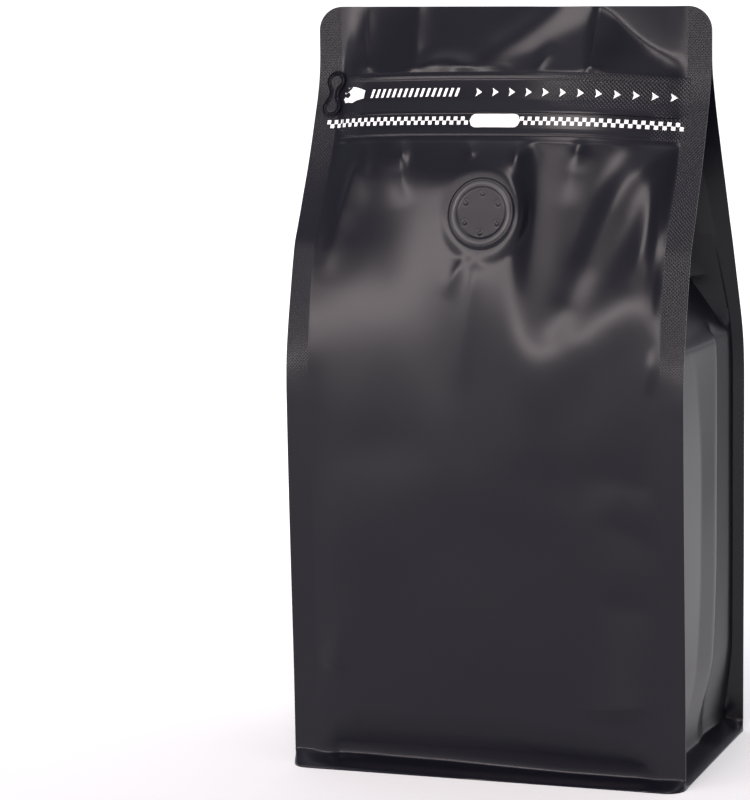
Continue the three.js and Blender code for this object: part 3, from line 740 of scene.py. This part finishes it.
def filmMaterial(name, look):
    material, tree, shader = newMaterial(name, look)
    place = tree.nodes.new("ShaderNodeTexCoord").outputs["Object"]
    grain = addGroup(tree, grainGroup, place)
    emboss = addGroup(tree, embossGroup, place)
    emboss.inputs["Pitch"].default_value = look["pitch"]
    mask = maskOf(tree, "seal")
    pressed = calc(tree, "MULTIPLY", emboss.outputs["Height"], mask)
    pressed = calc(tree, "MULTIPLY", pressed, look["press"])
    height = calc(tree, "ADD", calc(tree, "MULTIPLY", grain.outputs["Height"], look["grain"]), pressed)
    bump = tree.nodes.new("ShaderNodeBump")
    bump.inputs["Distance"].default_value = mm
    tree.links.new(height, bump.inputs["Height"])
    tree.links.new(bump.outputs[0], shader.inputs["Normal"])
    smoothest = look["roughness"] - look["sheenSpread"] / 2
    rough = calc(tree, "MULTIPLY_ADD", grain.outputs["Sheen"], look["sheenSpread"], smoothest)
    rough = calc(tree, "MULTIPLY_ADD", mask, look["pressRough"], rough)
    tree.links.new(rough, shader.inputs["Roughness"])
    return material


filmLook = {
    "colour": (0.0040, 0.0040, 0.0078), "roughness": 0.29, "ior": 1.36,
    "pitch": 0.0011, "grain": 0.006, "press": 0.08, "pressRough": 0.06, "sheenSpread": 0.06,
}
bandLook = {
    "colour": (0.0046, 0.0046, 0.0082), "roughness": 0.28, "ior": 1.38,
    "pitch": 0.0012, "grain": 0.005, "press": 0.12, "pressRough": 0.02, "sheenSpread": 0.05,
}
film = filmMaterial("satinFilm", filmLook)
bandFilm = filmMaterial("bandFilm", bandLook)
tabFilm = filmMaterial("tabFilm", dict(filmLook, pitch=0.0008, press=0.07))
valveFilm = filmMaterial("valveFilm", dict(filmLook, roughness=0.3, grain=0.004))
ink = newMaterial("whiteInk", {"colour": (0.86, 0.86, 0.86), "roughness": 0.5})[0]
print("materials made")

verts, faces, seal = makeFilm()
bagPiece = makeObject("filmBag", verts, faces, film, sharp=40, layers={"seal": seal})
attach(bagPiece, "root")
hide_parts("bag_body")
print("film bag made", len(verts), "points")

# zipper band

band = {
    "left": -57.6, "right": 61.0, "low": 208.2, "high": 228.8, "columns": 160, "rows": 124,
    "flat": 0.18, "endEase": 0.8, "ribLeft": 6, "ribRight": 5, "proud": 0.02, "behind": 0.15,
    # where the seal is pressed: towards the right above the rib, and at both ends
    "pressAcross": (6, 30), "pressUp": (216, 219),
    "pressLeft": (-52, -46), "pressRight": (48, 54), "leftPress": 0.9,
}
# the band's section: height up the bag and how far it stands out of the film
bandSection = [
    (208.2, 0), (208.5, 0.3), (209.3, 0.5), (210.1, 0.3), (210.8, 0.18), (215.2, 0.18), (215.6, 0.3),
    (215.9, 1.1), (216.4, 1.15), (219.4, 0.3), (219.9, 0.18), (226.2, 0.18), (226.8, 0.42), (227.6, 0.5),
    (228.4, 0.3), (228.8, 0),
]


def bandRise(x, z):
    fromLeft, fromRight = x - band["left"], band["right"] - x
    ends = smooth(0, band["endEase"], fromLeft) * smooth(0, band["endEase"], fromRight)
    inner = smooth(0, band["ribLeft"], fromLeft) * smooth(0, band["ribRight"], fromRight)
    rise = lineThrough(bandSection, z)
    flat = band["flat"]
    return np.where(rise > flat, flat + (rise - flat) * inner, rise) * ends


def bandFront(x, z):
    return frontFilm(x, z) - bandRise(x, z)


def makeBand():
    across = np.linspace(band["left"], band["right"], band["columns"])
    up = np.linspace(band["low"], band["high"], band["rows"])
    x, z = np.meshgrid(across, up)
    front = np.stack([x, bandFront(x, z) - band["proud"], z + archAt(x, z)], 2)
    behind = np.stack([x, frontFilm(x, z) + band["behind"], z + archAt(x, z)], 2)
    rows, columns = x.shape
    index = np.arange(rows * columns).reshape(rows, columns)
    quads = np.stack([index[:-1, :-1], index[:-1, 1:], index[1:, 1:], index[1:, :-1]], 2).reshape(-1, 4)
    faces = quads.tolist()
    count = rows * columns
    faces += (quads[:, ::-1] + count).tolist()
    edge = np.concatenate([index[0, :], index[1:, -1], index[-1, -2::-1], index[-2:0:-1, 0]])
    for a, b in zip(edge, np.roll(edge, -1)):
        faces.append([int(b), int(a), int(a) + count, int(b) + count])
    seal = smooth(*band["pressAcross"], x) * smooth(*band["pressUp"], z)
    seal = seal + (1 - smooth(*band["pressLeft"], x)) * band["leftPress"] + smooth(*band["pressRight"], x)
    seal = np.clip(seal, 0, 1).reshape(-1)
    verts = np.concatenate([front.reshape(-1, 3), behind.reshape(-1, 3)])
    return verts, faces, np.concatenate([seal, seal])


verts, faces, seal = makeBand()
bandPiece = makeObject("zipperBand", verts, faces, bandFilm, sharp=40, layers={"seal": seal})
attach(bandPiece, "root")
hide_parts("zipper_band")
print("zipper band made")

# print on the band: a checker stripe with a bare plaque, a hand, slanted bars and a row of arrows

marks = {
    "square": 1.28, "stripeZ": 213.2, "stripeLeft": -62.8, "stripeRight": 61.2,
    "plaqueX": 0.2, "plaqueHalf": 8.7, "plaqueHigh": 2.1, "plaqueRound": 2.2, "plaqueMargin": 0.3,
    "plaqueColumns": 30, "plaqueRows": (-1, -0.33, 0.33, 1),
    "arrowLeft": -7.4, "arrowPitch": 5.69, "arrows": 12, "arrowZ": 222.2,
    "arrowLong": 2.1, "arrowHalf": 1.35, "arrowNotch": 0.35,
    "barLeft": -46.1, "barPitch": 2.08, "bars": 16, "barWide": 0.95, "barHalf": 1.35, "barSlant": 0.8,
    "hand": [
        [(-51.6, 220.4), (-48.9, 220.9), (-48.5, 223.4), (-51.2, 224.3)],
        [(-55.4, 219.9), (-53.6, 219.6), (-51.6, 220.4), (-51.2, 224.3), (-53.4, 224.8), (-54.6, 222.2)],
        [(-54.6, 222.2), (-53.4, 224.8), (-55.6, 224.6), (-57.4, 223.4), (-57.0, 222.6), (-55.4, 223.3)],
        [(-57.6, 221.0), (-56.6, 219.8), (-55.4, 219.9), (-54.6, 222.2), (-55.6, 221.2), (-57.0, 221.7)],
    ],
    "lift": 0.06,
}


def makePrint():
    verts, faces = [], []

    def flat(points):
        # a small convex patch laid on the film
        x, z = np.array(points, float).T
        y = np.minimum(bandFront(x, z), frontFilm(x, z)) - marks["lift"]
        start = len(verts)
        verts.extend(np.stack([x, y, z + archAt(x, z)], 1).tolist())
        faces.append(list(range(start, start + len(points))))

    def plaqueTall(v):
        over = max(0, abs(v) - marks["plaqueHalf"] + marks["plaqueRound"]) / marks["plaqueRound"]
        return marks["plaqueHigh"] * math.sqrt(max(0.0, 1 - over ** 2))

    s = marks["square"]
    count = int((marks["stripeRight"] - marks["stripeLeft"]) / s)
    for i in range(count):
        left = marks["stripeLeft"] + i * s
        if abs(left + s / 2 - marks["plaqueX"]) < marks["plaqueHalf"] + marks["plaqueMargin"]:
            continue
        low = marks["stripeZ"] - s if i % 2 else marks["stripeZ"]
        flat([(left, low), (left + s, low), (left + s, low + s), (left, low + s)])
    ends = np.linspace(-marks["plaqueHalf"], marks["plaqueHalf"], marks["plaqueColumns"])
    for a, b in zip(ends[:-1], ends[1:]):
        x0, x1, z = marks["plaqueX"] + a, marks["plaqueX"] + b, marks["stripeZ"]
        tall0, tall1 = plaqueTall(a), plaqueTall(b)
        for low, high in zip(marks["plaqueRows"][:-1], marks["plaqueRows"][1:]):
            lower = [(x0, z + tall0 * low), (x1, z + tall1 * low)]
            upper = [(x1, z + tall1 * high), (x0, z + tall0 * high)]
            flat(lower + upper)
    for i in range(marks["arrows"]):
        x, z = marks["arrowLeft"] + i * marks["arrowPitch"], marks["arrowZ"]
        h, long, notch = marks["arrowHalf"], marks["arrowLong"], marks["arrowNotch"]
        flat([(x, z - h), (x + long, z), (x + notch, z)])
        flat([(x, z + h), (x + notch, z), (x + long, z)])
    # a plain hand that holds the tab
    for part in marks["hand"]:
        flat(part)
    for i in range(marks["bars"]):
        x, z = marks["barLeft"] + i * marks["barPitch"], marks["arrowZ"]
        h, w, k = marks["barHalf"], marks["barWide"], marks["barSlant"]
        flat([(x, z - h), (x + w, z - h), (x + w + k, z + h), (x + k, z + h)])
    return np.array(verts), faces


verts, faces = makePrint()
printPiece = makeObject("bandPrint", verts, faces, ink, sharp=60)
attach(printPiece, "root")
print("print made")

# pull tab

tab = {
    "x": -61.5, "low": 215.5, "high": 230.6, "lean": 0.6 / 7,
    "lobe": 3.4, "waist": 1.9, "flare": 0.045, "soft": 0.8,
    "off": 0.05, "lift": 0.95, "edge": 0.25, "groove": 0.9, "grooveIn": 0.85, "grooveWide": 0.48,
    # the mesh: columns round it, and rings by first share, last share and count
    "columns": 96, "innerRings": (0.12, 0.6, 7), "outerRings": (0.66, 1, 16), "farthest": 9.0, "halvings": 40,
}


def tabReach(u, v):
    # distance to the outline of two round ends and a neck, below zero inside
    far = (tab["high"] - tab["low"]) / 2 - tab["lobe"]
    ends = np.hypot(u, np.abs(v) - far) - tab["lobe"]
    neck = np.maximum(np.abs(u) - tab["waist"] - tab["flare"] * v * v, np.abs(v) - far)
    k = tab["soft"]
    h = np.clip(0.5 + 0.5 * (neck - ends) / k, 0, 1)
    return mix(neck, ends, h) - k * h * (1 - h)


def makeTab():
    middle = (tab["low"] + tab["high"]) / 2
    turns = np.linspace(0, 2 * np.pi, tab["columns"] + 1)[:-1]
    # the outline's distance from the middle, found by halving
    low, high = np.zeros(turns.shape), np.full(turns.shape, tab["farthest"])
    for i in range(tab["halvings"]):
        half = (low + high) / 2
        inside = tabReach(half * np.sin(turns), half * np.cos(turns)) < 0
        low, high = np.where(inside, half, low), np.where(inside, high, half)
    shares = np.concatenate([np.linspace(*tab["innerRings"]), np.linspace(*tab["outerRings"])])
    u = shares[:, None] * low[None, :] * np.sin(turns)[None, :]
    v = shares[:, None] * low[None, :] * np.cos(turns)[None, :]
    reach = -tabReach(u, v)
    rise = tab["lift"] * smooth(0, tab["edge"], reach)
    rise = rise - tab["groove"] * np.exp(-((reach - tab["grooveIn"]) / tab["grooveWide"]) ** 2)
    x, z = tab["x"] + u + tab["lean"] * v, middle + v
    y = frontFilm(x, z) - tab["off"] - rise
    centreY = float(frontFilm(np.array([tab["x"]]), np.array([middle]))[0]) - tab["off"] - tab["lift"]
    verts = np.concatenate([np.stack([x, y, z], 2).reshape(-1, 3), [[tab["x"], centreY, middle]]])
    return verts, discFaces(*u.shape, True)


verts, faces = makeTab()
tabPiece = makeObject("pullTab", verts, faces, tabFilm, sharp=50, layers={"seal": np.ones(len(verts))})
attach(tabPiece, "root")
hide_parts("pull_tab")
print("pull tab made")

# one-way valve

valveDisc = {
    "pins": 6, "pinCircle": 6.5, "pinRadius": 0.36, "pinDeep": 0.5, "dishRadius": 0.8, "dishDeep": 0.15,
    "lipRadius": 1.0, "lipWide": 0.35, "lipHigh": 0.05,
    # the ring's lighter colour is a painted highlight
    "ringFrom": (8.5, 8.9), "ringTo": (10.3, 10.6), "ringHighlightColour": (0.055, 0.053, 0.056),
    # the mesh: columns round it, and rings by first radius, last radius and count
    "columns": 160, "faceRings": (0.4, 8, 44), "edgeRings": (8.15, 12.2, 34),
}
# the disc's section: distance from its middle and how far it stands out
valveProfile = [
    (0, 0.12), (8.0, 0.16), (8.5, 0.28), (8.8, 0.6), (9.2, 0.98), (9.7, 1.1), (10.2, 0.98), (10.5, 0.72),
    (10.75, 0.66), (11.0, 0.72), (11.3, 0.55), (11.6, 0.15), (12.2, -0.12),
]


def makeValve():
    radii = np.concatenate([np.linspace(*valveDisc["faceRings"]), np.linspace(*valveDisc["edgeRings"])])
    turns = np.linspace(0, 2 * np.pi, valveDisc["columns"] + 1)[:-1]
    height = lineThrough(valveProfile, radii)[:, None] * np.ones(turns.shape)[None, :]
    u = radii[:, None] * np.sin(turns)[None, :]
    v = radii[:, None] * np.cos(turns)[None, :]
    for k in range(valveDisc["pins"]):
        turn = 2 * math.pi * k / valveDisc["pins"]
        pinU, pinV = valveDisc["pinCircle"] * math.sin(turn), valveDisc["pinCircle"] * math.cos(turn)
        d = np.hypot(u - pinU, v - pinV)
        lip = valveDisc["lipHigh"] * np.exp(-((d - valveDisc["lipRadius"]) / valveDisc["lipWide"]) ** 2)
        dish = valveDisc["dishDeep"] * np.exp(-(d / valveDisc["dishRadius"]) ** 2)
        height += lip - dish - valveDisc["pinDeep"] * np.exp(-(d / valveDisc["pinRadius"]) ** 4)
    across = np.array([math.cos(valve["turn"]), math.sin(valve["turn"]), 0])
    up = np.cross(valveNormal, across)
    raised = float(archAt(np.array([valve["x"]]), np.array([valve["z"]]))[0])
    centre = np.array([valve["x"], valveY, valve["z"] + raised])
    points = centre + u[..., None] * across + v[..., None] * up + height[..., None] * valveNormal
    verts = np.concatenate([points.reshape(-1, 3), [centre + valveProfile[0][1] * valveNormal]])
    # mask of the ring, which carries the painted highlight colour
    onRing = smooth(*valveDisc["ringFrom"], radii) * (1 - smooth(*valveDisc["ringTo"], radii))
    return verts, discFaces(*u.shape, False), np.append(np.repeat(onRing, len(turns)), 0)


# painted highlight: the ring is given a lighter colour than the film to stand in for its highlight
valveTree = valveFilm.node_tree
ringHighlightMix = valveTree.nodes.new("ShaderNodeMix")
ringHighlightMix.data_type = "RGBA"
ringHighlightMix.inputs["A"].default_value = (*filmLook["colour"], 1)
ringHighlightMix.inputs["B"].default_value = (*valveDisc["ringHighlightColour"], 1)
valveTree.links.new(maskOf(valveTree, "ring"), ringHighlightMix.inputs["Factor"])
valveTree.links.new(ringHighlightMix.outputs["Result"], valveTree.nodes["Principled BSDF"].inputs["Base Color"])
verts, faces, ring = makeValve()
valveLayers = {"seal": np.zeros(len(verts)), "ring": ring}
valvePiece = makeObject("valveDisc", verts, faces, valveFilm, sharp=50, layers=valveLayers)
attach(valvePiece, "root")
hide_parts("valve")
print("valve made")

# floor, light and camera

studio = {
    "floor": 0.76, "floorSize": 40, "shade": 0.36, "shadeAt": (0.12, -0.8, 0), "shadeReach": (0.15, 0.75),
    "glowNear": 0.05, "glowFar": 0.85, "glowFrom": (0.15, -0.9, 0), "glowReach": (0.5, 1.7),
    "sideGlow": 0.05, "sideReach": (0.12, 0.4),
    "pool": 0.6, "poolAt": (0.28, -0.62, 0), "poolReach": (0.08, 0.5),
    "soft": (1.0, 0.89, 0.88), "cool": (0.94, 0.97, 1.0), "target": (0, 0, 0.15),
    # the sky from the horizon up: two stops by colour, the others by level
    "skyLow": (0.0, (0.9, 0.92, 0.95, 1)), "skyHigh": (0.30, (0.26, 0.26, 0.29, 1)),
    "skyTint": (0.99, 0.98, 1.07),
    "sky": [(0.06, 0.8), (0.14, 0.36), (0.6, 0.36), (0.8, 0.5), (0.93, 0.8), (1.0, 0.9)],
}


def softRange(tree, value, reach, start, end):
    node = tree.nodes.new("ShaderNodeMapRange")
    node.interpolation_type = "SMOOTHSTEP"
    node.inputs["From Min"].default_value, node.inputs["From Max"].default_value = reach
    node.inputs["To Min"].default_value, node.inputs["To Max"].default_value = start, end
    tree.links.new(value, node.inputs["Value"])
    return node.outputs["Result"]


def distanceFrom(tree, place, point):
    node = tree.nodes.new("ShaderNodeVectorMath")
    node.operation = "DISTANCE"
    node.inputs[1].default_value = point
    tree.links.new(place, node.inputs[0])
    return node.outputs["Value"]


bpy.ops.mesh.primitive_plane_add(size=studio["floorSize"], location=(0, 0, 0))
floor = bpy.context.object
floor.name = "floor"
floorLook = {"colour": (studio["floor"],) * 3, "roughness": 1.0}
floorMaterial, floorTree, floorShader = newMaterial("paleFloor", floorLook)
floorShader.inputs["Specular IOR Level"].default_value = 0
floorShader.inputs["Emission Strength"].default_value = 1
floorPlace = floorTree.nodes.new("ShaderNodeTexCoord").outputs["Object"]
# the floor glows more away from the bag, so that it stays pale to the edge of the picture
away = distanceFrom(floorTree, floorPlace, studio["glowFrom"])
glow = softRange(floorTree, away, studio["glowReach"], studio["glowNear"], studio["glowFar"])
# and less on the gusset's side
across = floorTree.nodes.new("ShaderNodeSeparateXYZ")
floorTree.links.new(floorPlace, across.inputs[0])
side = softRange(floorTree, across.outputs["X"], studio["sideReach"], 1, studio["sideGlow"])
# with a pool of light in front of that side
aside = distanceFrom(floorTree, floorPlace, studio["poolAt"])
pool = softRange(floorTree, aside, studio["poolReach"], studio["pool"], 0)
lit = calc(floorTree, "MULTIPLY_ADD", glow, side, pool)
floorTree.links.new(lit, floorShader.inputs["Emission Color"])
# the floor is a little greyer where the flat front mirrors it
ahead = distanceFrom(floorTree, floorPlace, studio["shadeAt"])
shade = softRange(floorTree, ahead, studio["shadeReach"], studio["shade"], studio["floor"])
floorTree.links.new(shade, floorShader.inputs["Base Color"])
floor.data.materials.append(floorMaterial)

world = bpy.data.worlds.new("studio")
scene.world = world
world.use_nodes = True
sky = world.node_tree
direction = sky.nodes.new("ShaderNodeTexCoord").outputs["Generated"]
split = sky.nodes.new("ShaderNodeSeparateXYZ")
sky.links.new(direction, split.inputs[0])
ramp = sky.nodes.new("ShaderNodeValToRGB")
sky.links.new(split.outputs["Z"], ramp.inputs[0])
stops = ramp.color_ramp.elements
stops[0].position, stops[0].color = studio["skyLow"]
stops[1].position, stops[1].color = studio["skyHigh"]
for position, level in studio["sky"]:
    stop = stops.new(position)
    stop.color = (*[level * tint for tint in studio["skyTint"]], 1)
sky.links.new(ramp.outputs[0], sky.nodes["Background"].inputs["Color"])


def areaLight(name, azimuth, elevation, distance, wide, high, radiance, colour):
    # placed round the bag by azimuth from the front (towards +X) and elevation, facing the bag's middle
    data = bpy.data.lights.new(name, "AREA")
    data.shape = "RECTANGLE"
    data.size, data.size_y = wide, high
    data.energy = radiance * math.pi * wide * high
    data.color = colour
    light = bpy.data.objects.new(name, data)
    az, el = math.radians(azimuth), math.radians(elevation)
    away = Vector((math.sin(az) * math.cos(el), -math.cos(az) * math.cos(el), math.sin(el)))
    light.location = Vector(studio["target"]) + away * distance
    light.rotation_euler = away.to_track_quat("Z", "Y").to_euler()
    scene.collection.objects.link(light)


areaLight("softboxFront", azimuth=-15, elevation=11.5, distance=1.7,
          wide=2.8, high=0.30, radiance=12.0, colour=studio["soft"])
areaLight("softboxHigh", azimuth=6, elevation=44, distance=1.7,
          wide=0.72, high=0.44, radiance=10.0, colour=studio["soft"])
areaLight("backTop", azimuth=180, elevation=58, distance=2.2,
          wide=3.0, high=2.0, radiance=0.6, colour=studio["cool"])

# the focal length is in pixels of the picture, which is 800 high
view = {
    "place": (0.331, -1.09965, 0.294), "azimuth": 19.18, "elevation": 8.59, "roll": -0.88,
    "focal": 3444.0, "pictureHigh": 800, "sensor": 36, "clipEnd": 100,
}
az, el, roll = (math.radians(view[k]) for k in ("azimuth", "elevation", "roll"))
forward = Vector((-math.sin(az) * math.cos(el), math.cos(az) * math.cos(el), -math.sin(el)))
right = Vector((math.cos(az), math.sin(az), 0))
upward = right.cross(forward)
right2 = right * math.cos(roll) + upward * math.sin(roll)
up2 = upward * math.cos(roll) - right * math.sin(roll)
cameraData = bpy.data.cameras.new("camera")
cameraData.sensor_width = view["sensor"]
cameraData.lens = view["focal"] * view["sensor"] / view["pictureHigh"]
cameraData.clip_end = view["clipEnd"]
camera = bpy.data.objects.new("camera", cameraData)
turned = Matrix((right2, up2, -forward)).transposed().to_4x4()
camera.matrix_world = Matrix.Translation(Vector(view["place"])) @ turned
scene.collection.objects.link(camera)
scene.camera = camera
scene.view_settings.view_transform = "Standard"
print("floor, light and camera set")
